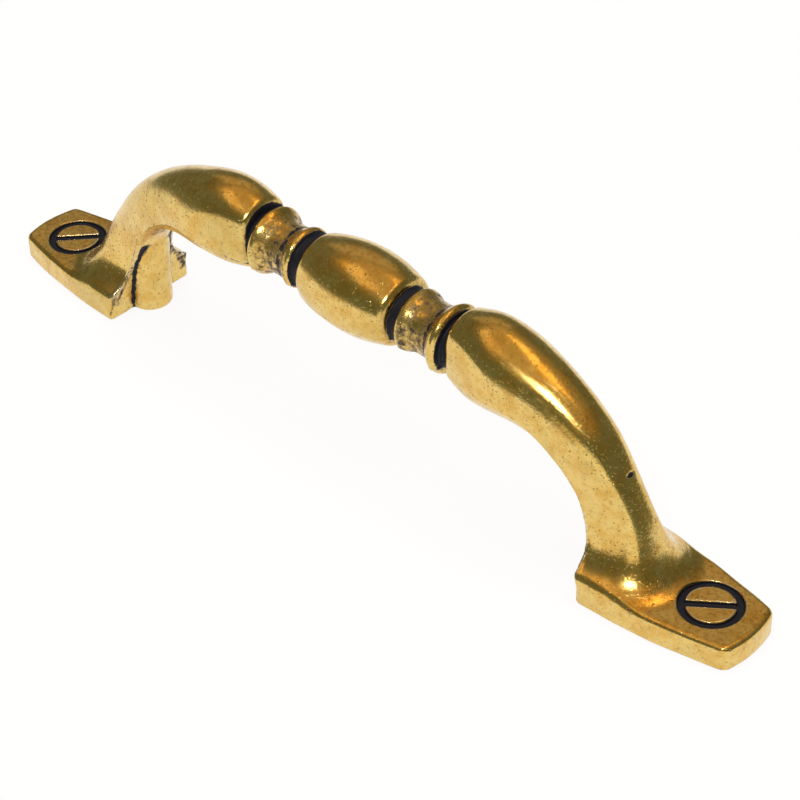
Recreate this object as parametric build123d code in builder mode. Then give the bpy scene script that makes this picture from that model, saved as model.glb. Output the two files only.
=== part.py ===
"""Cast brass cabinet pull: a turned bar on two curved legs, with keystone feet."""
import os

from build123d import *

# Overall sizes, in millimetres
overall_length = 115.8  # between the outer ends of the feet
hole_spacing = 76.2  # between the tapped holes
bar_height = 20.55  # axis of the bar above the mounting face

# Bead in the middle of the bar
bead_length = 13.4
bead_diameter = 10.85
bead_end_diameter = 8.0
bead_end_chamfer = 0.35

# Pair of rings on each side of the bead, with a hollow waist between them
groove_width = 1.65  # between the bead and the inner ring
groove_diameter = 6.4
inner_ring_diameter = 7.7
inner_ring_width = 1.85
waist_diameter = 6.3
ring_spacing = 4.55  # between the crowns of the two rings
outer_ring_diameter = 8.6
outer_ring_width = 1.65
ring_wall = 0.45  # from a ring's crown down to the edge of its groove

# Leg: its path runs from the bar down to the inner end of the foot
leg_groove_width = 1.05  # between the outer ring and the leg
core_overlap = 0.5  # how far the bar's core runs into the leg
bar_run = 16.5  # how far the path keeps to the bar's line
foot_run = 10.5  # how far the path keeps to the rise of the foot's end face
foot_lean = 2.0  # how far that rise leans in
sole_sink = 0.5  # how far the path's end lies below the top of the foot

# Leg sections: share of the path, half width, then depth outside and inside the parting line
neck_half_width = 4.15
neck_outer_depth = 4.75
shoulder_share = 0.11
shoulder_half_width = 4.85
shoulder_outer_depth = 6.0
swell_share = 0.26
swell_half_width = 5.1
swell_outer_depth = 5.9
swell_inner_depth = 4.35
elbow_share = 0.43
elbow_half_width = 4.25
elbow_outer_depth = 5.5
elbow_inner_depth = 2.7
knee_share = 0.55
knee_half_width = 3.85
knee_outer_depth = 5.5
knee_inner_depth = 1.5
shin_share = 0.7
shin_half_width = 3.2
shin_outer_depth = 5.75
shin_inner_depth = 0.5
ankle_share = 0.82
ankle_half_width = 3.1
ankle_outer_depth = 6.35
flare_share = 0.92
flare_half_width = 4.6
flare_outer_depth = 7.2
toe_share = 0.965
toe_half_width = 5.5
toe_outer_depth = 8.6
sole_half_width = 6.45
sole_outer_depth = 10.8
face_bow = 0.3  # how far the leg's end face stands proud between its edges

# Keystone foot
foot_length = 19.7
foot_thickness = 3.3
foot_inner_width = 13.4
foot_outer_width = 8.6
foot_side_bow = 0.55
foot_end_bow = 0.7
foot_corner_round = 0.6
foot_top_chamfer = 0.4
foot_bottom_chamfer = 0.3

# Ring and slot recessed in the foot, in the form of a slotted screw head
head_inset = 6.25  # centre of the head from the outer end of the foot
head_ring_outer_diameter = 7.4
head_ring_inner_diameter = 5.7
head_slot_width = 0.8
head_depth = 0.5
right_head_offset = 0.3  # the cast heads sit a little off the centre line
right_slot_angle = 37.0
left_head_offset = -0.2
left_slot_angle = 46.0

# Boss behind each foot, tapped from below
boss_foot_diameter = 5.5
boss_top_diameter = 6.9
boss_height = 15.0  # before it is cut off along the leg's path
boss_chamfer = 0.35
tapped_diameter = 3.45
tapped_depth = 9.0
tapped_chamfer = 0.35

# Places that follow from the sizes above
foot_outer_x = overall_length / 2
foot_inner_x = foot_outer_x - foot_length
head_x = foot_outer_x - head_inset
hole_x = hole_spacing / 2
bead_end_x = bead_length / 2
inner_wall_x = bead_end_x + groove_width
inner_crown_x = inner_wall_x + inner_ring_width / 2
outer_crown_x = inner_crown_x + ring_spacing
outer_wall_x = outer_crown_x + outer_ring_width / 2
neck_x = outer_wall_x + leg_groove_width
waist_x = (inner_crown_x + outer_crown_x) / 2
core_end_x = neck_x + core_overlap
sole_z = foot_thickness - sole_sink  # the leg's last section lies inside the foot

with BuildLine(Plane.XZ) as leg_path:
    Bezier(
        (neck_x, bar_height),
        (neck_x + bar_run, bar_height),
        (foot_inner_x - foot_lean, sole_z + foot_run),
        (foot_inner_x, sole_z),
    )


def leg_plane(share):
    """Plane square to the leg's path, with its second axis pointing out of the arch."""
    path = leg_path.line
    return Plane(origin=path @ share, x_dir=(0, 1, 0), z_dir=path % share)


def foot_plane(share):
    """Plane on the leg's path that lies flat, as the top of the foot does."""
    return Plane(origin=leg_path.line @ share, x_dir=(0, 1, 0), z_dir=(0, 0, -1))


def leg_section(plane, half_width, outer_depth, inner_depth):
    """One section across the leg, round on the outside and flatter inside."""
    with BuildSketch(plane) as section:
        with BuildLine():
            EllipticalCenterArc((0, 0), half_width, outer_depth, arc_size=180)
            ThreePointArc((-half_width, 0), (0, -inner_depth), (half_width, 0))
        make_face()
    return section.sketch


leg_sections = [
    leg_section(leg_plane(0), neck_half_width, neck_outer_depth, neck_half_width),
    leg_section(leg_plane(shoulder_share), shoulder_half_width, shoulder_outer_depth, shoulder_half_width),
    leg_section(leg_plane(swell_share), swell_half_width, swell_outer_depth, swell_inner_depth),
    leg_section(leg_plane(elbow_share), elbow_half_width, elbow_outer_depth, elbow_inner_depth),
    leg_section(leg_plane(knee_share), knee_half_width, knee_outer_depth, knee_inner_depth),
    leg_section(leg_plane(shin_share), shin_half_width, shin_outer_depth, shin_inner_depth),
    leg_section(leg_plane(ankle_share), ankle_half_width, ankle_outer_depth, face_bow),
    leg_section(leg_plane(flare_share), flare_half_width, flare_outer_depth, face_bow),
    leg_section(foot_plane(toe_share), toe_half_width, toe_outer_depth, face_bow),
    leg_section(foot_plane(1), sole_half_width, sole_outer_depth, face_bow),
]

# Boss behind the foot, cut off inside the leg
with BuildPart() as boss:
    with BuildSketch(Plane((hole_x, 0, 0), x_dir=(1, 0, 0), z_dir=(0, -1, 0))):
        with BuildLine():
            boss_r = boss_foot_diameter / 2
            Polyline(
                (0, 0),
                (boss_r - boss_chamfer, 0),
                (boss_r, boss_chamfer),
                (boss_top_diameter / 2, boss_height),
                (0, boss_height),
                (0, 0),
            )
        make_face()
    revolve(axis=Axis((hole_x, 0, 0), (0, 0, 1)))
    shin_point = leg_path.line @ shin_share
    shin_out = leg_plane(shin_share).y_dir
    split(bisect_by=Plane(origin=shin_point, z_dir=shin_out), keep=Keep.BOTTOM)

with BuildPart() as handle:
    # Foot
    with BuildSketch() as foot_outline:
        with BuildLine():
            inner_y = foot_inner_width / 2
            outer_y = foot_outer_width / 2
            middle_x = (foot_inner_x + foot_outer_x) / 2
            middle_y = (inner_y + outer_y) / 2 + foot_side_bow
            end_x = foot_outer_x - foot_end_bow
            Line((foot_inner_x, inner_y), (foot_inner_x, -inner_y))
            ThreePointArc((foot_inner_x, -inner_y), (middle_x, -middle_y), (end_x, -outer_y))
            ThreePointArc((end_x, -outer_y), (foot_outer_x, 0), (end_x, outer_y))
            ThreePointArc((end_x, outer_y), (middle_x, middle_y), (foot_inner_x, inner_y))
        make_face()
        fillet(foot_outline.vertices(), foot_corner_round)
    extrude(amount=foot_thickness)
    chamfer(handle.faces().sort_by(Axis.Z)[-1].edges(), foot_top_chamfer)
    chamfer(handle.faces().sort_by(Axis.Z)[0].edges(), foot_bottom_chamfer)

    # Leg and its flare
    loft(sections=leg_sections)

    add(boss)

    # Turned bar, from the middle of the bead into the leg
    with BuildSketch(Plane((0, 0, bar_height), x_dir=(1, 0, 0), z_dir=(0, -1, 0))) as bar:
        with BuildLine():
            bead_end_r = bead_end_diameter / 2
            groove_r = groove_diameter / 2
            inner_r = inner_ring_diameter / 2
            outer_r = outer_ring_diameter / 2
            Line((0, 0), (0, bead_diameter / 2))
            bead = TangentArc((0, bead_diameter / 2), (bead_end_x, bead_end_r), tangent=(1, 0))
            Polyline(
                bead @ 1,
                (bead_end_x, groove_r),
                (inner_wall_x, groove_r),
                (inner_wall_x, inner_r - ring_wall),
            )
            Spline(
                (inner_wall_x, inner_r - ring_wall),
                (inner_crown_x, inner_r),
                (waist_x, waist_diameter / 2),
                (outer_crown_x, outer_r),
                (outer_wall_x, outer_r - ring_wall),
            )
            Polyline(
                (outer_wall_x, outer_r - ring_wall),
                (outer_wall_x, groove_r),
                (core_end_x, groove_r),
                (core_end_x, 0),
                (0, 0),
            )
        make_face()
        bead_corner = (bead_end_x, 0, bar_height + bead_end_r)
        chamfer(bar.vertices().sort_by_distance(bead_corner)[0], bead_end_chamfer)
    revolve(axis=Axis((0, 0, bar_height), (1, 0, 0)))

    mirror(about=Plane.YZ)

    # Ring and slot of each head
    slot_length = (head_ring_inner_diameter + head_ring_outer_diameter) / 2
    heads = (
        (head_x, right_head_offset, right_slot_angle),
        (-head_x, left_head_offset, left_slot_angle),
    )
    for x, y, slot_angle in heads:
        with BuildSketch(Plane.XY.offset(foot_thickness)):
            with Locations((x, y)):
                Circle(head_ring_outer_diameter / 2)
                Circle(head_ring_inner_diameter / 2, mode=Mode.SUBTRACT)
                Rectangle(slot_length, head_slot_width, rotation=slot_angle)
        extrude(amount=-head_depth, mode=Mode.SUBTRACT)

    # Tapped holes
    with Locations(*(Location((x, 0, 0), (180, 0, 0)) for x in (hole_x, -hole_x))):
        CounterSinkHole(
            radius=tapped_diameter / 2,
            counter_sink_radius=tapped_diameter / 2 + tapped_chamfer,
            depth=tapped_depth,
        )

os.makedirs("parts", exist_ok=True)
handle.part.label = "handle"
export_step(handle.part, "parts/handle.step")
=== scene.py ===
"""Visual model of a cast brass cabinet pull, on a plain white floor."""
import math

import bpy
import numpy as np
from mathutils import Matrix, Vector

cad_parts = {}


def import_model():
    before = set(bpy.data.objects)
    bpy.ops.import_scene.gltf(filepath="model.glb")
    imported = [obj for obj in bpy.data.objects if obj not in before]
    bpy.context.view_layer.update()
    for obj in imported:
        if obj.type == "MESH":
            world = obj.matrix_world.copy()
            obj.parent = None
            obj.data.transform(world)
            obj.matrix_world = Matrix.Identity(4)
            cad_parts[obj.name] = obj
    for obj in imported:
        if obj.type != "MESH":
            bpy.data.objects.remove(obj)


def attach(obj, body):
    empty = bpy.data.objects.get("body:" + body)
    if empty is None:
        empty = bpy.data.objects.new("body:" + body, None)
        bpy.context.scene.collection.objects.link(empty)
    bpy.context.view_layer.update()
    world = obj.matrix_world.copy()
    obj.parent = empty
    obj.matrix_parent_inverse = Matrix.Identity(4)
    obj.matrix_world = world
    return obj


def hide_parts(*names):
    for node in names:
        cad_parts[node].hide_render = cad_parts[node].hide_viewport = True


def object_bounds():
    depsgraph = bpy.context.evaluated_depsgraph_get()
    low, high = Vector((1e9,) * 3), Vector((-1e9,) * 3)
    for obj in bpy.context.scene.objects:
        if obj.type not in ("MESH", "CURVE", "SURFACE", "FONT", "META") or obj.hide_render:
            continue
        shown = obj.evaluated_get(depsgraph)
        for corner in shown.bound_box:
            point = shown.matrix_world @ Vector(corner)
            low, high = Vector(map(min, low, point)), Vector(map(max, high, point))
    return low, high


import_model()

cad_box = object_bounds()
MM = 0.001

# Sizes of the casting in millimetres. Edges are rounded where the solid has chamfers, and a few
# sizes differ a little from the solid's.
foot_outer_x = 57.9
foot_length = 19.7
foot_thickness = 3.3
foot_inner_width = 13.4
foot_outer_width = 8.6
foot_side_bow = 0.55
foot_end_bow = 0.7
foot_corner_round = 0.7
foot_top_round = 0.7
foot_bottom_round = 0.4
foot_inner_x = foot_outer_x - foot_length

# Turned bar, with a bead and a pair of rings on each side of it
bar_height = 20.55
bead_end_x = 6.7
bead_r = 5.425
bead_end_r = 4.0
bead_end_round = 0.85
groove_r = 3.2
groove_fillet = 0.35
ring_start_x = 8.35
ring_end_x = 14.65
ring_edge_round = 0.22
inner_crown_x = 9.0
outer_crown_x = 14.1
ring_profile = (
    (ring_start_x, 3.52),
    (inner_crown_x, 3.85),
    (9.6, 3.74),
    (10.3, 3.32),
    (11.4, 3.12),
    (12.5, 3.42),
    (13.3, 4.05),
    (outer_crown_x, 4.3),
    (ring_end_x, 3.95),
)

# Leg: its path runs from the bar down to the inner end of the foot
neck_x = 15.7
neck_fillet = 0.3
core_overlap = 0.9  # how far the bar's core runs into the leg
leg_end_round = 0.8
bar_run = 16.5  # how far the path keeps to the bar's line
foot_run = 10.5  # how far the path keeps to the rise of the foot's end face
foot_lean = 2.0  # how far that rise leans in
sole_sink = 0.5  # how far the path's end lies below the top of the foot
sole_z = foot_thickness - sole_sink
path_points = np.array(
    [
        (neck_x, bar_height),
        (neck_x + bar_run, bar_height),
        (foot_inner_x - foot_lean, sole_z + foot_run),
        (foot_inner_x, sole_z),
    ]
)
# Leg sections: share of the path, half width, depth outside and inside the parting line,
# and how square the outer half is, where 2 is an ellipse
leg_sections = np.array(
    [
        (0.0, 4.15, 4.75, 4.15, 2.0),
        (0.11, 4.85, 6.0, 4.85, 2.0),
        (0.26, 5.1, 5.9, 4.35, 2.0),
        (0.43, 4.25, 5.5, 2.7, 2.2),
        (0.55, 3.85, 5.5, 1.5, 2.4),
        (0.70, 3.2, 5.75, 0.5, 2.7),
        (0.82, 3.15, 6.5, 0.3, 2.7),
        (0.92, 4.15, 7.25, 0.3, 2.6),
        (0.965, 5.0, 7.65, 0.3, 2.5),
        (1.0, 5.6, 7.9, 0.3, 2.4),
    ]
)
parting_round = 0.3  # between the outer and the inner half of a section
leg_end_z = 1.0  # inside the foot
flare_end_x = 50.0  # past the reach of the leg's flare
flare_back = 0.15  # how far the flare reaches behind the leg's path
cove_size = 3.6  # soft joint of the leg's flare and the top of the foot
ridge_round = 0.12
ridge_lip = 0.14  # thin burr along the inner edge of the flare
ridge_lip_width = 0.3
ridge_lip_top = 12.0  # height at which the burr has run out
ridge_lip_fade = 3.0

boss_x = 38.1
boss_foot_r = 2.75
boss_top_r = 3.25
boss_height = 15.0
boss_round = 0.4
boss_overlap = 0.2  # how far the boss runs into the leg, past the leg's path
boss_joint = 0.35  # softness of the joint of boss and leg
boss_joint_gain = 2.3  # how much softer it is at the top
boss_joint_start_z = 10.0
boss_joint_end_z = 14.0
boss_joint_least = 0.05  # outside the leg's path
boss_joint_out = -0.6  # distance out of the path from which it falls to that
boss_joint_fade = 0.9
tapped_r = 1.725
tapped_depth = 9.0
tapped_chamfer = 0.35

# Ring and slot in the form of a slotted screw head: centre of each, and angle of its slot
head_x = 51.65
heads = ((head_x, 0.3, 37.0), (-head_x, -0.2, 46.0))
head_ring_r = 3.275
head_ring_half_width = 0.425
head_slot_half_width = 0.46
head_depth = 0.5
head_floor_round = 0.25
head_edge_round = 0.12

# Unevenness of the casting: where along the bar it departs from the drawing, and by how much
drift_x = (-24.0, -15.7, -13.8, -9.0, -6.7, 6.7, 9.0, 14.1, 15.7, 24.0)
drift = (0.0, 0.4, -0.1, 0.5, -0.15, 1.05, 0.1, 0.6, 0.4, 0.0)
wave_seed = 7
wave_count = 18
wave_length_range = (2.5, 9.0)
wave_height = 0.0011  # for each millimetre of a wave's length
# Seam that the two halves of the mould leave along the bar and legs
seam_drop = 2.1  # below the axis of the bar
seam_height = 0.09
seam_half_width = 0.25
seam_step = 0.08  # how far the lower half is set in
seam_join = 0.42  # share of the path where the seam meets the parting line
nick_centre = (40.35, 0.4, 15.3)
nick_r = 0.5
nick_stretch = 0.4
nick_edge_round = 0.15

# Grid from which the surface is drawn: coarse steps, and bands (from, to, step) of finer ones
grid_end_x = 58.6
grid_step_x = 0.28
grid_bands_x = ((47.4, 55.9, 0.18), (5.5, 17.0, 0.22))  # heads, and rings with grooves
grid_end_y = 7.35
grid_step_y = 0.24
grid_start_z = -0.6
grid_end_z = 27.2
grid_step_z = 0.26
grid_bands_z = ((2.4, 3.9, 0.16),)  # top of the foot
grid_slab = 24  # planes of the grid that are worked out at once
fit_passes = 3  # moves of the points on to the surface
fit_limit = 0.12  # of each move
fit_least_slope = 0.25  # squared, and used where the slope is less
slope_step = 0.03
tiny = 1e-6

# Leg's path as tables: a fine one for lengths along it, and a coarse one to search for places
path_table_size = 241
path_search_size = 49
path_search_steps = 4
path_search_block = 40000  # points that are searched for at once
path_least_curve = 0.3  # keeps the steps of the search short where the path bends away


def cubic_spline(xs, ys):
    """Natural cubic spline through the points, as a function."""
    xs = np.asarray(xs, float)
    ys = np.asarray(ys, float)
    n = len(xs)
    gap = np.diff(xs)
    system = np.eye(n)
    right = np.zeros(n)
    for i in range(1, n - 1):
        system[i, i - 1 : i + 2] = (gap[i - 1], 2 * (gap[i - 1] + gap[i]), gap[i])
        right[i] = 6 * ((ys[i + 1] - ys[i]) / gap[i] - (ys[i] - ys[i - 1]) / gap[i - 1])
    bend = np.linalg.solve(system, right)

    def curve(x):
        x = np.clip(x, xs[0], xs[-1])
        i = np.clip(np.searchsorted(xs, x) - 1, 0, n - 2)
        h = gap[i]
        a = (xs[i + 1] - x) / h
        b = (x - xs[i]) / h
        bent = ((a**3 - a) * bend[i] + (b**3 - b) * bend[i + 1]) * h**2 / 6
        return a * ys[i] + b * ys[i + 1] + bent

    return curve


def bezier(t):
    """Point, first and second derivative of the leg's path."""
    p0, p1, p2, p3 = path_points
    t = np.asarray(t)[..., None]
    s = 1 - t
    point = s**3 * p0 + 3 * s**2 * t * p1 + 3 * s * t**2 * p2 + t**3 * p3
    first = 3 * (s**2 * (p1 - p0) + 2 * s * t * (p2 - p1) + t**2 * (p3 - p2))
    second = 6 * (s * (p2 - 2 * p1 + p0) + t * (p3 - 2 * p2 + p1))
    return point, first, second


table_t = np.linspace(0, 1, path_table_size)
table_point, _, _ = bezier(table_t)
table_length = np.concatenate([[0], np.cumsum(np.hypot(*np.diff(table_point, axis=0).T))])
table_share = table_length / table_length[-1]
search_t = np.linspace(0, 1, path_search_size)
search_point, _, _ = bezier(search_t)
half_width_at = cubic_spline(leg_sections[:, 0], leg_sections[:, 1])
outer_depth_at = cubic_spline(leg_sections[:, 0], leg_sections[:, 2])
inner_depth_at = cubic_spline(leg_sections[:, 0], leg_sections[:, 3])
squareness_at = cubic_spline(leg_sections[:, 0], leg_sections[:, 4])
ring_r_at = cubic_spline(*np.array(ring_profile).T)


def path_place(x, z):
    """Share of the leg's path nearest to each point, and distance out of the arch."""
    q = np.stack(np.broadcast_arrays(x, z), axis=-1)
    flat = q.reshape(-1, 2)
    t = np.empty(len(flat))
    for start in range(0, len(flat), path_search_block):
        part = flat[start : start + path_search_block]
        away = ((part[:, None, :] - search_point[None]) ** 2).sum(-1)
        t[start : start + path_search_block] = search_t[away.argmin(1)]
    for _ in range(path_search_steps):
        point, first, second = bezier(t)
        off = point - flat
        slope = (off * first).sum(-1)
        curve = (first**2).sum(-1) + (off * second).sum(-1)
        least = path_least_curve * (first**2).sum(-1)
        t = np.clip(t - slope / np.maximum(curve, least), 0, 1)
    point, first, _ = bezier(t)
    along = first / np.linalg.norm(first, axis=-1, keepdims=True)
    off = flat - point
    out = off[:, 1] * along[:, 0] - off[:, 0] * along[:, 1]
    share = np.interp(t, table_t, table_share)
    shape = q.shape[:-1]
    return share.reshape(shape), out.reshape(shape)


def smooth_step(share):
    share = np.clip(share, 0, 1)
    return share * share * (3 - 2 * share)


def smooth_max(a, b, k):
    h = np.maximum(k - np.abs(a - b), 0) / k
    return np.maximum(a, b) + h * h * k / 4


def smooth_min(a, b, k):
    h = np.maximum(k - np.abs(a - b), 0) / k
    return np.minimum(a, b) - h * h * k / 4


def corner(r, *walls):
    """Inside of several walls at once, with edges rounded by r."""
    out = 0
    deepest = None
    for wall in walls:
        wall = wall + r
        out = out + np.maximum(wall, 0) ** 2
        deepest = wall if deepest is None else np.maximum(deepest, wall)
    return np.sqrt(out) + np.minimum(deepest, 0) - r


def disc(x, y, centre_x, centre_y, r):
    return np.hypot(x - centre_x, y - centre_y) - r


def arc_circle(ax, ay, bx, by, cx, cy):
    """Centre and radius of the circle through three points."""
    d = 2 * (ax * (by - cy) + bx * (cy - ay) + cx * (ay - by))
    a2, b2, c2 = ax**2 + ay**2, bx**2 + by**2, cx**2 + cy**2
    ux = (a2 * (by - cy) + b2 * (cy - ay) + c2 * (ay - by)) / d
    uy = (a2 * (cx - bx) + b2 * (ax - cx) + c2 * (bx - ax)) / d
    return ux, uy, math.hypot(ax - ux, ay - uy)


inner_y = foot_inner_width / 2
outer_y = foot_outer_width / 2
foot_end_x = foot_outer_x - foot_end_bow
middle_x = (foot_inner_x + foot_outer_x) / 2
middle_y = (inner_y + outer_y) / 2 + foot_side_bow
side_arc = arc_circle(foot_inner_x, inner_y, middle_x, middle_y, foot_end_x, outer_y)
end_arc = arc_circle(foot_end_x, -outer_y, foot_outer_x, 0, foot_end_x, outer_y)
bead_arc_r = (bead_end_x**2 + (bead_r - bead_end_r) ** 2) / (2 * (bead_r - bead_end_r))


def foot_shape(x, y, z):
    outline = corner(
        foot_corner_round,
        foot_inner_x - x,
        disc(x, np.abs(y), *side_arc),
        disc(x, y, *end_arc),
    )
    top = corner(foot_top_round, outline, z - foot_thickness)
    return np.maximum(top, corner(foot_bottom_round, outline, -z))


def seam_place(share):
    """Where the seam runs on the leg, as a distance out of its path."""
    return -seam_drop * (1 - smooth_step(share / seam_join))


def seam_line(above):
    """How far the casting stands out near the seam, by the distance above it."""
    ridge = seam_height * np.exp(-((above / seam_half_width) ** 2))
    return ridge - seam_step * smooth_step(0.5 - above / (2 * seam_half_width))


def leg_shape(x, y, place):
    share, out = place
    w = half_width_at(share)
    outer = outer_depth_at(share)
    inner = inner_depth_at(share)
    across = np.abs(y) + tiny
    rise = np.maximum(out, 0)
    p = squareness_at(share)
    k = ((across / w) ** p + (rise / outer) ** p) ** (1 / p)
    upper = np.hypot(across, rise) * (1 - 1 / k)
    r = (w**2 + inner**2) / (2 * inner)
    lower = np.hypot(across, np.minimum(out - (r - inner), 0)) - r
    body = smooth_max(upper, lower, parting_round)
    body = body - seam_line(out - seam_place(share))
    return corner(leg_end_round, body, neck_x - x)


def flared_leg(x, y, z, place):
    """Leg with its flare, which runs out on to the top of the foot and ends at the foot's sides."""
    out = place[1]
    leg = np.maximum(leg_shape(x, y, place), leg_end_z - z)
    lip = ridge_lip * np.exp(-((out / ridge_lip_width) ** 2))
    leg = leg - lip * smooth_step((ridge_lip_top - z) / ridge_lip_fade)
    side = disc(x, np.abs(y), *side_arc)
    flare = smooth_min(leg, z - foot_thickness, cove_size)
    flare = corner(ridge_round, flare, -out - flare_back)
    flare = corner(foot_top_round, flare, side)
    flare = np.maximum(flare, np.maximum(leg_end_z - z, x - flare_end_x))
    return np.minimum(corner(foot_top_round, leg, side), flare)


def boss_side(x, y, z):
    r = np.hypot(x - boss_x, y)
    slope = (boss_top_r - boss_foot_r) / boss_height
    return (r - boss_foot_r - slope * z) / math.hypot(1, slope)


def boss_shape(x, y, z, place):
    return np.maximum(corner(boss_round, boss_side(x, y, z), -z), place[1] - boss_overlap)


def boss_softness(z, place):
    """How softly the boss joins the leg: most at its top, and hardly outside the leg's path."""
    height = np.clip((z - boss_joint_start_z) / (boss_joint_end_z - boss_joint_start_z), 0, 1)
    inner_side = 1 - smooth_step((place[1] - boss_joint_out) / boss_joint_fade)
    return boss_joint_least + (boss_joint + boss_joint_gain * height) * inner_side


def bar_shape(x, y, z):
    r = np.hypot(y, z - bar_height)
    barrel = np.hypot(x, r + bead_arc_r - bead_r) - bead_arc_r
    bead = corner(bead_end_round, barrel, x - bead_end_x)
    step = 0.02
    ring_r = ring_r_at(x)
    slope = (ring_r_at(x + step) - ring_r_at(x - step)) / (2 * step)
    turned_rings = (r - ring_r) / np.sqrt(1 + slope**2)
    rings = corner(ring_edge_round, turned_rings, ring_start_x - x, x - ring_end_x)
    core = np.maximum(r - groove_r, x - neck_x - core_overlap)
    turned = smooth_min(smooth_min(core, bead, groove_fillet), rings, groove_fillet)
    return turned - seam_line(z - bar_height + seam_drop)


def head_shape(x, y, z):
    """Ring and slot sunk in each foot."""
    cut = None
    for cx, cy, angle in heads:
        px, py = x - cx, y - cy
        c, s = math.cos(math.radians(angle)), math.sin(math.radians(angle))
        along, across = px * c + py * s, py * c - px * s
        ring = np.abs(np.hypot(px, py) - head_ring_r) - head_ring_half_width
        slot = np.maximum(np.abs(across) - head_slot_half_width, np.abs(along) - head_ring_r)
        mark = np.minimum(ring, slot)
        cut = mark if cut is None else np.minimum(cut, mark)
    return smooth_max(cut, foot_thickness - head_depth - z, head_floor_round)


def hole_shape(x, y, z):
    r = np.hypot(x - boss_x, y)
    funnel = (r - tapped_r - tapped_chamfer + z) / math.sqrt(2)
    return np.maximum(np.minimum(r - tapped_r, funnel), z - tapped_depth)


rng = np.random.default_rng(wave_seed)
wave_direction = rng.normal(size=(wave_count, 3))
wave_direction /= np.linalg.norm(wave_direction, axis=1, keepdims=True)
wave_length = rng.uniform(*wave_length_range, wave_count)
wave_phase = rng.uniform(0, 2 * math.pi, wave_count)


def unevenness(x, y, z):
    """Slow waves that a hand-finished casting keeps."""
    total = 0
    for (a, b, c), length, phase in zip(wave_direction, wave_length, wave_phase):
        k = 2 * math.pi / length
        total = total + length * np.sin(k * (a * x + b * y + c * z) + phase)
    return wave_height * total


def solid(x, y, z):
    """Signed distance to the casting's surface, in millimetres, less than zero inside."""
    x = x - np.interp(x, drift_x, drift)
    ax = np.abs(x)
    place = path_place(ax, z)
    leg = np.minimum(flared_leg(ax, y, z, place), foot_shape(ax, y, z))
    leg = smooth_min(leg, boss_shape(ax, y, z, place), boss_softness(z, place))
    shape = smooth_min(leg, bar_shape(ax, y, z), neck_fillet)
    shape = shape + unevenness(x, y, z)
    nick_x, nick_y, nick_z = nick_centre
    nick = np.sqrt((x - nick_x) ** 2 + (nick_stretch * (y - nick_y)) ** 2 + (z - nick_z) ** 2)
    shape = smooth_max(shape, nick_r - nick, nick_edge_round)
    shape = smooth_max(shape, -head_shape(x, y, z), head_edge_round)
    shape = np.maximum(shape, -hole_shape(ax, y, z))
    return np.maximum(shape, -z)


def spaced(start, end, bands, coarse):
    """Grid lines from start to end: coarse, and finer inside the given bands."""
    lines = [start]
    while lines[-1] < end:
        here = lines[-1]
        step = min([size for low, high, size in bands if low <= abs(here) <= high] + [coarse])
        lines.append(here + step)
    return np.array(lines)


def surface_mesh():
    """Points and quads of the surface, by surface nets on a grid with uneven spacing."""
    right = spaced(0.0, grid_end_x, grid_bands_x, grid_step_x)
    gx = np.concatenate([-right[:0:-1], right])
    gy = np.arange(-grid_end_y, grid_end_y, grid_step_y)
    gz = spaced(grid_start_z, grid_end_z, grid_bands_z, grid_step_z)
    values = np.empty((len(gx), len(gy), len(gz)), np.float32)
    for start in range(0, len(gx), grid_slab):
        x = gx[start : start + grid_slab, None, None]
        values[start : start + grid_slab] = solid(x, gy[None, :, None], gz[None, None, :])
    inside = values < 0
    count = np.zeros(tuple(n - 1 for n in values.shape), np.int8)
    corners = [(i, j, k) for i in (0, 1) for j in (0, 1) for k in (0, 1)]
    nx, ny, nz = count.shape
    for i, j, k in corners:
        count += inside[i : i + nx, j : j + ny, k : k + nz]
    cells = np.argwhere((count > 0) & (count < len(corners)))
    number = np.full(count.shape, -1, np.int32)
    number[tuple(cells.T)] = np.arange(len(cells))
    level = {c: values[tuple((cells + c).T)].astype(float) for c in corners}

    # Each cell's point is the middle of the places where its edges cross the surface
    total = np.zeros((len(cells), 3))
    hits = np.zeros(len(cells))
    for c in corners:
        for axis in range(3):
            if c[axis]:
                continue
            other = tuple(1 if n == axis else c[n] for n in range(3))
            a, b = level[c], level[other]
            crossed = (a < 0) != (b < 0)
            share = np.where(crossed, a / np.where(crossed, a - b, 1), 0)
            place = np.tile(np.array(c, float), (len(cells), 1))
            place[:, axis] = share
            total += place * crossed[:, None]
            hits += crossed
    local = total / hits[:, None]
    points = np.empty((len(cells), 3))
    for axis, lines in enumerate((gx, gy, gz)):
        low = lines[cells[:, axis]]
        points[:, axis] = low + local[:, axis] * (lines[cells[:, axis] + 1] - low)

    # Each edge of the grid that crosses the surface joins the four cells around it
    quads = []
    for axis in range(3):
        u, v = (axis + 1) % 3, (axis + 2) % 3
        first = np.take(inside, range(values.shape[axis] - 1), axis)
        second = np.take(inside, range(1, values.shape[axis]), axis)
        for leaving in (True, False):
            edges = np.argwhere((first & ~second) if leaving else (~first & second))
            edges = edges[(edges[:, u] > 0) & (edges[:, v] > 0)]
            ring = []
            for du, dv in ((-1, -1), (0, -1), (0, 0), (-1, 0)):
                cell = edges.copy()
                cell[:, u] += du
                cell[:, v] += dv
                ring.append(number[tuple(cell.T)])
            quads.append(np.stack(ring if leaving else ring[::-1], axis=1))
    return points, np.concatenate(quads)


def slope_at(points):
    """Value and gradient of the casting's distance at points."""
    value = solid(*points.T)
    gradient = np.empty_like(points)
    for axis in range(3):
        shift = np.zeros(3)
        shift[axis] = slope_step
        ahead, behind = solid(*(points + shift).T), solid(*(points - shift).T)
        gradient[:, axis] = (ahead - behind) / (2 * slope_step)
    return value, gradient


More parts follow.
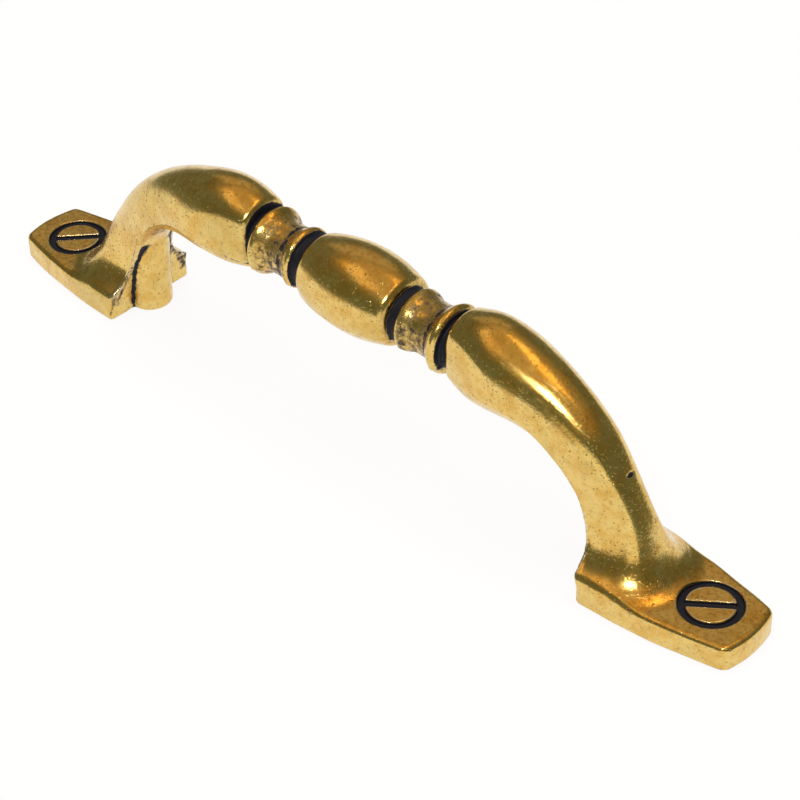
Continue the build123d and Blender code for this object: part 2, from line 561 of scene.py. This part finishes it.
def fitted_surface():
    """Points on the surface inside the solid's box, their quads and normals."""
    points, quads = surface_mesh()
    for _ in range(fit_passes):
        value, gradient = slope_at(points)
        move = value / np.maximum((gradient**2).sum(1), fit_least_slope)
        points -= np.clip(move, -fit_limit, fit_limit)[:, None] * gradient
    low, high = (np.array([c[i] for i in range(3)]) / MM for c in cad_box)
    points = np.clip(points, low, high)
    _, gradient = slope_at(points)
    normals = gradient / np.maximum(np.linalg.norm(gradient, axis=1, keepdims=True), tiny)
    return points, quads, normals


points, quads, normals = fitted_surface()
x, y, z = points.T
from_middle = x - np.interp(x, drift_x, drift)
along_bar = np.abs(from_middle)
leg_place = path_place(along_bar, z)
leg_share, leg_out = leg_place
from_ridge = half_width_at(leg_share) - np.abs(y)


def shelter(reaches):
    """How closed in each point is: 0 in the open, 1 deep in a groove."""
    total = np.zeros(len(points))
    for reach in reaches:
        total += np.clip(1 - solid(*(points + normals * reach).T) / reach, 0, 1)
    return total / len(reaches)


def exposure(depth):
    """How much an edge stands out: 0 on a flat face, 1 on a sharp edge."""
    return np.clip(1 + solid(*(points - normals * depth).T) / depth, 0, 1)


def band(value, low, high, fade):
    """1 between low and high, falling to 0 over the fade outside them."""
    return smooth_step((value - low) / fade + 1) * smooth_step((high - value) / fade + 1)


def past(value, low, fade):
    """0 up to low, rising to 1 over the fade."""
    return smooth_step((value - low) / fade)


def before(value, high, fade):
    """0 from high on, rising to 1 over the fade below it."""
    return smooth_step((high - value) / fade)


def bell(value, width):
    """1 where the value is 0, falling away on both sides."""
    return np.exp(-((value / width) ** 2))


def most(*amounts):
    return np.max(np.stack(amounts), axis=0)


def head_recess():
    """Ring and slot of the heads, up to just below the top of the foot."""
    rim = 0.14
    fade = 0.12
    top_z = foot_thickness - 0.05
    bottom_z = 2.0
    reach = 5.0  # from the middle of a head towards the leg
    recess = np.clip((rim - head_shape(x, y, z)) / fade, 0, 1)
    recess *= np.clip((top_z - z) / fade, 0, 1)
    recess *= (np.abs(x) > head_x - reach) & (z > bottom_z)
    return recess


def groove_patina():
    """Black in the grooves beside the bead and the legs."""
    rim = 0.1
    ring_rim = 0.05
    fade = 0.3
    at_bead = band(along_bar, bead_end_x + rim, ring_start_x + ring_rim, fade)
    at_leg = band(along_bar, ring_end_x + rim, neck_x, fade)
    return np.maximum(at_bead, at_leg)


def waist_patina():
    """Broken black in the waist between each pair of rings, and more along one line of it."""
    waist_amount = 0.46
    line_amount = 0.64
    lines = ((-10.7, -10.3), (12.5, 12.9))
    blackening = waist_amount * band(along_bar, low=9.2, high=12.9, fade=0.8)
    for low, high in lines:
        blackening = np.maximum(blackening, line_amount * band(from_middle, low, high, fade=0.45))
    return blackening


def nick_patina():
    """Black in the nick and around it."""
    rim = 0.15
    away = np.linalg.norm((points - np.array(nick_centre)) * (1, nick_stretch, 1), axis=1)
    return before(away, nick_r + rim, fade=0.2)


def boss_shadow():
    """Painted shadow: black in the crease between the boss and the leg's inner face."""
    width = 0.5
    to_leg = leg_shape(along_bar, y, leg_place)
    to_boss = boss_side(along_bar, y, z)
    crease = np.exp(-((to_leg / width) ** 2) - (to_boss / width) ** 2)
    crease *= before(z, high=11.3, fade=1.0) * before(leg_out, high=0.15, fade=0.2)
    crease *= past(from_ridge, low=0.1, fade=0.25)
    return crease


def arch_shade():
    """Painted shade under the leg, on the faces that look down, where it bends down to the boss."""
    dirt = band(leg_share, low=0.47, high=0.64, fade=0.05)
    dirt *= past(-normals[:, 2], low=0.2, fade=0.3)
    dirt *= past(-leg_out, low=0.1, fade=0.4)
    return dirt


def ridge_shadow():
    """Painted shadow: thin black just behind the burr on the inner edge of the flare."""
    amount = 0.55
    behind = 0.1
    width = 0.2
    ridge = bell(leg_out + behind, width) * before(from_ridge, high=0.7, fade=0.3)
    ridge *= before(z, high=9.5, fade=3.0) * past(leg_share, low=0.6, fade=0.1)
    return amount * ridge


def seam_shadow():
    """Painted shadow: thin black just below the seam, under the step of the lower half, on the bar
    and the upper legs.
    """
    amount = 0.5
    drop = 0.35
    width = 0.22
    above_bar_seam = z - bar_height + seam_drop
    above_leg_seam = leg_out - seam_place(leg_share)
    above_seam = np.where(along_bar < neck_x, above_bar_seam, above_leg_seam)
    return amount * (bell(above_seam + drop, width) * before(leg_share, high=0.3, fade=0.1))


def foot_dirt():
    """Dirt on the tops of the feet, more of it on the left one."""
    left_amount = 0.55
    right_amount = 0.3
    start_x = 44.0
    on_foot = past(z - foot_thickness, low=-0.5, fade=0.3) * (np.abs(x) > start_x)
    return on_foot * np.where(x < 0, left_amount, right_amount)


groove_reaches = (0.3, 0.6, 1.0)
# Painted shade: brown film that grows with how closed in the broader hollows are
hollow_shade_reaches = (1.5, 2.5)
hollow_shade_amount = 1.4
edge_depth = 0.5
arch_shade_black = 0.42
waist_dirt = 0.9

# Painted shade under the leg's arch, put into the black and into the brown film
arch = arch_shade()
# Black: patina in the grooves, the waists and the nick, and painted shadow and shade in the boss's
# crease, behind the burr, below the seam and under the arch
black = most(
    groove_patina(),
    waist_patina(),
    nick_patina(),
    past(shelter(groove_reaches), low=0.32, fade=0.45),
    boss_shadow(),
    arch_shade_black * arch,
    ridge_shadow(),
    seam_shadow(),
)
# Brown film: dirt on the waists and the feet, and painted shade in the hollows and under the arch
dirt_and_shade = most(
    waist_dirt * band(along_bar, low=9.9, high=13.2, fade=0.6),
    foot_dirt(),
    # painted shade in the broader hollows
    hollow_shade_amount * shelter(hollow_shade_reaches),
    arch,
)
dirt_and_shade = np.clip(dirt_and_shade, 0, 1)
edge = exposure(edge_depth)
recess = head_recess()

mesh = bpy.data.meshes.new("handle_casting")
mesh.from_pydata((points * MM).tolist(), [], quads.tolist())
mesh.update()
mesh.polygons.foreach_set("use_smooth", np.ones(len(quads), bool))
mesh.normals_split_custom_set_from_vertices(normals.tolist())
# Channels: black patina with painted shadow, edge wear, brown dirt with painted shade, and the
# heads' recesses
wear_and_shade = mesh.color_attributes.new("wear_and_shade", "FLOAT_COLOR", "POINT")
wear_and_shade_channels = np.stack([black, edge, dirt_and_shade, recess], 1).astype(np.float32)
wear_and_shade.data.foreach_set("color", wear_and_shade_channels.ravel())
casting = bpy.data.objects.new("handle_casting", mesh)
bpy.context.scene.collection.objects.link(casting)


class Nodes:
    """Short ways to add and link the nodes of one tree."""

    def __init__(self, tree):
        self.tree = tree
        tree.nodes.clear()

    def add(self, kind, **values):
        node = self.tree.nodes.new(kind)
        for name, value in values.items():
            setattr(node, name, value)
        return node

    def link(self, source, target):
        if isinstance(source, (int, float, tuple)):
            target.default_value = source
        else:
            self.tree.links.new(source, target)

    def noise(self, vector, scale, detail, roughness):
        node = self.add("ShaderNodeTexNoise")
        self.link(vector, node.inputs["Vector"])
        self.link(scale, node.inputs["Scale"])
        self.link(detail, node.inputs["Detail"])
        self.link(roughness, node.inputs["Roughness"])
        return node.outputs["Fac"]

    def ramp(self, value, low, high, to_low=0.0, to_high=1.0):
        node = self.add("ShaderNodeMapRange", interpolation_type="SMOOTHSTEP")
        self.link(low, node.inputs["From Min"])
        self.link(high, node.inputs["From Max"])
        self.link(to_low, node.inputs["To Min"])
        self.link(to_high, node.inputs["To Max"])
        self.link(value, node.inputs["Value"])
        return node.outputs["Result"]

    def math(self, operation, a, b):
        node = self.add("ShaderNodeMath", operation=operation)
        self.link(a, node.inputs[0])
        self.link(b, node.inputs[1])
        return node.outputs[0]

    def mix(self, share, a, b):
        node = self.add("ShaderNodeMix", data_type="RGBA")
        self.link(share, node.inputs["Factor"])
        self.link(a, node.inputs[6])
        self.link(b, node.inputs[7])
        return node.outputs[2]


def brass_material():
    """Brass that is straw, olive and brown in patches, silvery on edges and black in recesses, with
    painted shade and shadow in its creases and hollows and under the arch.
    """
    straw = (0.80, 0.565, 0.185, 1.0)
    deep = (0.72, 0.44, 0.105, 1.0)
    olive = (0.55, 0.43, 0.14, 1.0)
    brown = (0.20, 0.125, 0.045, 1.0)
    silver = (0.74, 0.69, 0.56, 1.0)
    dark = (0.012, 0.013, 0.021, 1.0)
    olive_most = 0.4
    dirt_and_shade_gain = 0.22
    film_most = 0.6
    film_on_edges = 0.3
    film_roughness = 0.2
    pit_darkness = 0.6
    pit_depth = 0.8
    edge_shine = 0.8
    blackening_break = 0.9  # how much the fine noise breaks up the patina and the painted shade
    blackening_metal = 0.15
    blackening_gloss = 0.15
    blackening_roughness = 0.25
    least_roughness = 0.11
    most_roughness = 0.19
    grain_height = 0.3
    fine_height = 0.7
    bump_strength = 0.5
    bump_distance = 0.00006

    material = bpy.data.materials.new("antique_brass")
    material.use_nodes = True
    n = Nodes(material.node_tree)
    place = n.add("ShaderNodeTexCoord").outputs["Object"]
    wear_and_shade_node = n.add("ShaderNodeVertexColor", layer_name="wear_and_shade")
    split = n.add("ShaderNodeSeparateColor")
    n.link(wear_and_shade_node.outputs["Color"], split.inputs[0])
    black_value, edge_value, dirt_and_shade_value = split.outputs
    recess_value = wear_and_shade_node.outputs["Alpha"]

    cloud = n.noise(place, scale=110.0, detail=2.0, roughness=0.5)
    blotch = n.noise(place, scale=420.0, detail=4.0, roughness=0.65)
    fine = n.noise(place, scale=1500.0, detail=4.0, roughness=0.7)
    grain = n.noise(place, scale=5200.0, detail=2.0, roughness=0.6)
    speck = n.noise(place, scale=3900.0, detail=1.0, roughness=0.4)

    colour = n.mix(n.ramp(blotch, 0.38, 0.66), straw, deep)
    colour = n.mix(n.ramp(cloud, 0.45, 0.70, to_high=olive_most), colour, olive)
    # Brown film from fine noise and dirt, and painted shade from the hollows and under the arch
    dirt_and_shade_level = n.math("ADD", fine, n.math("MULTIPLY", dirt_and_shade_value, dirt_and_shade_gain))
    film_and_shade = n.ramp(dirt_and_shade_level, 0.48, 0.88, to_high=film_most)
    film_and_shade = n.math("MULTIPLY", film_and_shade, n.ramp(edge_value, 0.55, 0.8, 1.0, film_on_edges))
    colour = n.mix(film_and_shade, colour, brown)
    pits = n.ramp(speck, 0.64, 0.78)
    colour = n.mix(n.math("MULTIPLY", pits, pit_darkness), colour, dark)
    colour = n.mix(n.ramp(edge_value, 0.4, 0.75, to_high=edge_shine), colour, silver)
    # Black: patina, the heads' recesses, and painted shadow and shade from the black channel
    uneven = n.math("MULTIPLY", n.math("SUBTRACT", fine, 0.5), blackening_break)
    broken = n.math("ADD", black_value, uneven)
    blackening = n.math("MAXIMUM", n.ramp(broken, 0.34, 0.66), n.ramp(recess_value, 0.2, 0.8))
    colour = n.mix(blackening, colour, dark)

    shader = n.add("ShaderNodeBsdfPrincipled")
    n.link(colour, shader.inputs["Base Color"])
    n.link(n.ramp(blackening, 0.0, 1.0, 1.0, blackening_metal), shader.inputs["Metallic"])
    n.link(n.ramp(blackening, 0.0, 1.0, 0.5, blackening_gloss), shader.inputs["Specular IOR Level"])
    rough = n.ramp(blotch, 0.3, 0.7, least_roughness, most_roughness)
    rough = n.math("ADD", rough, n.math("MULTIPLY", film_and_shade, film_roughness))
    rough = n.math("ADD", rough, n.math("MULTIPLY", blackening, blackening_roughness))
    n.link(rough, shader.inputs["Roughness"])
    height = n.math("MULTIPLY", grain, grain_height)
    height = n.math("ADD", height, n.math("MULTIPLY", fine, fine_height))
    height = n.math("SUBTRACT", height, n.math("MULTIPLY", pits, pit_depth))
    bump = n.add("ShaderNodeBump")
    n.link(bump_strength, bump.inputs["Strength"])
    n.link(bump_distance, bump.inputs["Distance"])
    n.link(height, bump.inputs["Height"])
    n.link(bump.outputs["Normal"], shader.inputs["Normal"])
    n.link(shader.outputs[0], n.add("ShaderNodeOutputMaterial").inputs["Surface"])
    return material


mesh.materials.append(brass_material())
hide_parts("handle")
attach(casting, "root")


def floor_piece(half_size):
    """Plain white floor, which keeps a soft shadow."""
    white = (0.9, 0.9, 0.9, 1.0)
    glow_colour = (1.0, 1.0, 1.0, 1.0)
    glow_strength = 1.0
    glow_share = 0.9  # of what is seen or mirrored of the floor
    signs = ((-1, -1), (1, -1), (1, 1), (-1, 1))
    plane = bpy.data.meshes.new("floor")
    plane.from_pydata([(a * half_size, b * half_size, 0) for a, b in signs], [], [(0, 1, 2, 3)])
    material = bpy.data.materials.new("white_floor")
    material.use_nodes = True
    n = Nodes(material.node_tree)
    diffuse = n.add("ShaderNodeBsdfDiffuse")
    n.link(white, diffuse.inputs["Color"])
    glow = n.add("ShaderNodeEmission")
    n.link(glow_colour, glow.inputs["Color"])
    n.link(glow_strength, glow.inputs["Strength"])
    rays = n.add("ShaderNodeLightPath")
    seen = n.math("MAXIMUM", rays.outputs["Is Camera Ray"], rays.outputs["Is Glossy Ray"])
    seen = n.math("MAXIMUM", seen, rays.outputs["Is Transmission Ray"])
    mix = n.add("ShaderNodeMixShader")
    n.link(n.math("MULTIPLY", seen, glow_share), mix.inputs[0])
    n.link(diffuse.outputs[0], mix.inputs[1])
    n.link(glow.outputs[0], mix.inputs[2])
    n.link(mix.outputs[0], n.add("ShaderNodeOutputMaterial").inputs["Surface"])
    plane.materials.append(material)
    floor = bpy.data.objects.new("floor", plane)
    bpy.context.scene.collection.objects.link(floor)


floor_piece(half_size=3.0)


def lamp(name, place, target, size, power, colour):
    light = bpy.data.lights.new(name, "AREA")
    light.shape = "RECTANGLE"
    light.size, light.size_y = size
    light.energy = power
    light.color = colour
    lamp_object = bpy.data.objects.new(name, light)
    lamp_object.location = place
    aim = Vector(target) - Vector(place)
    lamp_object.rotation_euler = aim.to_track_quat("-Z", "Y").to_euler()
    lamp_object.visible_camera = False
    bpy.context.scene.collection.objects.link(lamp_object)
    return lamp_object


def lamp_at(name, azimuth, elevation, distance, size, radiance, colour):
    """A soft lamp in the given direction, as bright as radiance where it is mirrored."""
    target = (0, 0, 0.012)
    azimuth, elevation = math.radians(azimuth), math.radians(elevation)
    level = distance * math.cos(elevation)
    place = (level * math.cos(azimuth), level * math.sin(azimuth), distance * math.sin(elevation))
    return lamp(name, place, target, size, radiance * math.pi * size[0] * size[1], colour)


# Lamps: azimuth and elevation in degrees, distance and size in metres, radiance and colour
lamps = (
    ("key", -62, 49, 0.9, (0.17, 0.10), 38.0, (1.0, 0.97, 0.90)),
    ("key_glow", -62, 51, 0.95, (0.5, 0.26), 0.8, (1.0, 0.92, 0.70)),
    ("warm_ceiling", 55, 72, 0.9, (0.5, 0.22), 1.6, (1.0, 0.58, 0.16)),
    ("warm_wall", -140, 60, 0.9, (0.6, 0.3), 0.55, (1.0, 0.66, 0.30)),
    ("back_wall", 135, 39, 0.9, (0.7, 0.35), 0.28, (1.0, 0.72, 0.48)),
    ("spot", -17, 69, 0.9, (0.06, 0.06), 7.0, (1.0, 0.95, 0.85)),
    ("card", -62, 7.5, 0.7, (0.44, 0.18), 0.85, (1.0, 0.96, 0.84)),
)
for settings in lamps:
    lamp_at(*settings)
fill = lamp_at("fill", 0, 89, 1.2, (1.2, 1.2), 2.4, (1.0, 1.0, 1.0))
fill.visible_glossy = False  # lights the floor, and isn't mirrored in the metal


def studio_world():
    """Dim olive surround that grows warmer towards the top."""
    stops = (
        (0.0, (0.20, 0.21, 0.15)),
        (0.3, (0.16, 0.175, 0.13)),
        (0.62, (0.17, 0.165, 0.11)),
        (0.78, (0.36, 0.27, 0.15)),
        (0.92, (0.60, 0.41, 0.20)),
    )
    world = bpy.data.worlds.new("studio")
    world.use_nodes = True
    n = Nodes(world.node_tree)
    direction = n.add("ShaderNodeSeparateXYZ")
    n.link(n.add("ShaderNodeTexCoord").outputs["Generated"], direction.inputs[0])
    sky = n.add("ShaderNodeValToRGB")
    ramp = sky.color_ramp.elements
    for i, (height, colour) in enumerate(stops):
        stop = ramp[i] if i < len(ramp) else ramp.new(height)
        stop.position = height
        stop.color = (*colour, 1.0)
    n.link(direction.outputs["Z"], sky.inputs["Fac"])
    surround = n.add("ShaderNodeBackground")
    n.link(sky.outputs["Color"], surround.inputs["Color"])
    n.link(1.0, surround.inputs["Strength"])
    n.link(surround.outputs[0], n.add("ShaderNodeOutputWorld").inputs["Surface"])
    return world


def photo_camera():
    """Camera at the photograph's viewing angle."""
    azimuth, elevation, roll = (math.radians(a) for a in (44.53, 39.217, -1.826))
    position = Vector((0.16870, -0.16557, 0.19663))
    forward = Vector(
        (
            -math.sin(azimuth) * math.cos(elevation),
            math.cos(azimuth) * math.cos(elevation),
            -math.sin(elevation),
        )
    )
    level = Vector((math.cos(azimuth), math.sin(azimuth), 0))
    upright = level.cross(forward)
    right = level * math.cos(roll) + upright * math.sin(roll)
    up = upright * math.cos(roll) - level * math.sin(roll)
    turn = Matrix((right, up, -forward)).transposed().to_4x4()
    camera_data = bpy.data.cameras.new("camera")
    camera_data.sensor_width = 36.0
    camera_data.lens = 115.592
    camera = bpy.data.objects.new("camera", camera_data)
    camera.matrix_world = Matrix.Translation(position) @ turn
    bpy.context.scene.collection.objects.link(camera)
    return camera


bpy.context.scene.world = studio_world()
bpy.context.scene.camera = photo_camera()
bpy.context.scene.view_settings.view_transform = "Standard"
